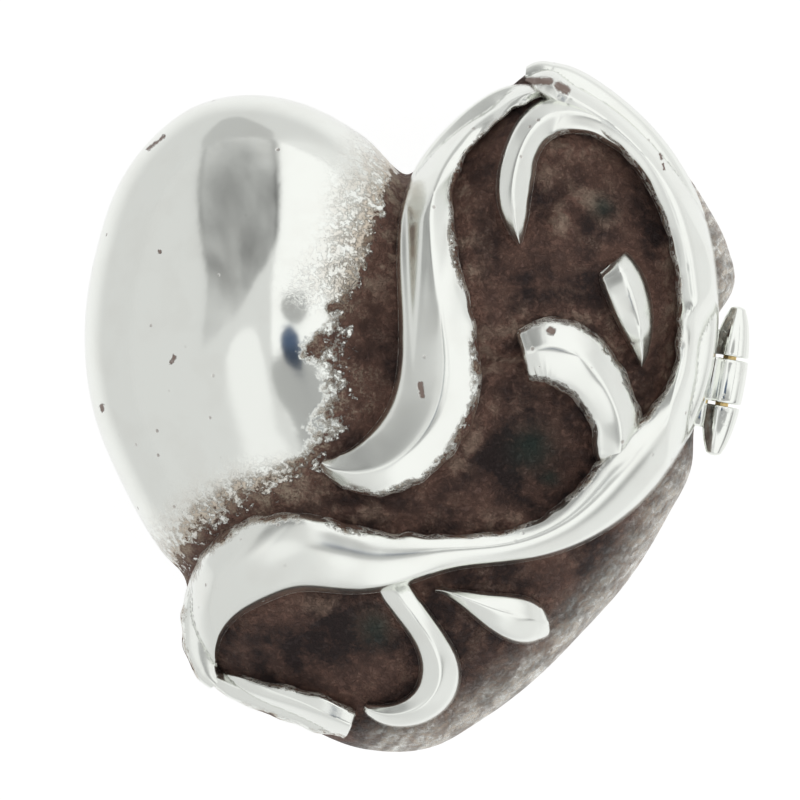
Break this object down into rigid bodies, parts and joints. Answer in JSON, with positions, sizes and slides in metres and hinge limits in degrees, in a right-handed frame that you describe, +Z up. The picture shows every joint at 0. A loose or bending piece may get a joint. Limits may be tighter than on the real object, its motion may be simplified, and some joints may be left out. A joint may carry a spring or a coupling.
{
  "type": "heart-shaped trinket box",
  "caption": "Puffed heart-shaped silver trinket box with a hinged lid, raised scrollwork on a dark oxidised ground, velvet lining and a spring catch.",
  "frame": {"origin": "on the flat face that the box stands on, under the middle of the heart", "axes": "+X across the lobes towards the hinge, +Y from the tip to the cleft, +Z up out of the lid"},
  "size_m": [0.0606, 0.0633, 0.0325],
  "materials": {
    "polished_silver": "polished silver, oxidised dark brown in the recesses under the scrollwork",
    "scroll_silver": "bright polished silver with small casting pits",
    "bezel_silver": "satin silver",
    "brass": "drawn brass",
    "velvet": "dark red velvet",
    "felt": "charcoal felt"
  },
  "bodies": {
    "base": {"base_shell": "polished_silver", "base_bezel": "bezel_silver", "base_cushion": "velvet", "sole_felt": "felt", "hinge_base": "polished_silver", "hinge_pin": "brass", "catch_spring": "brass", "catch_rivets": "brass"},
    "lid": {"lid_shell": "polished_silver", "s_scroll": "scroll_silver", "outer_scroll": "scroll_silver", "tip_wave": "scroll_silver", "crest_curl": "scroll_silver", "branch_scroll": "scroll_silver", "upper_leaf": "scroll_silver", "lower_leaf": "scroll_silver", "tip_curl": "scroll_silver", "tip_band": "scroll_silver", "lid_panel": "velvet", "hinge_lid": "polished_silver", "catch_striker": "bezel_silver"}
  },
  "joints": [
    {"name": "lid_hinge", "type": "hinge", "parent": "base", "child": "lid", "pos_m": [0.02832, 0.00174, 0.0136], "axis": [0.1709, 0.9853, 0], "range_deg": [0, 100]}
  ]
}
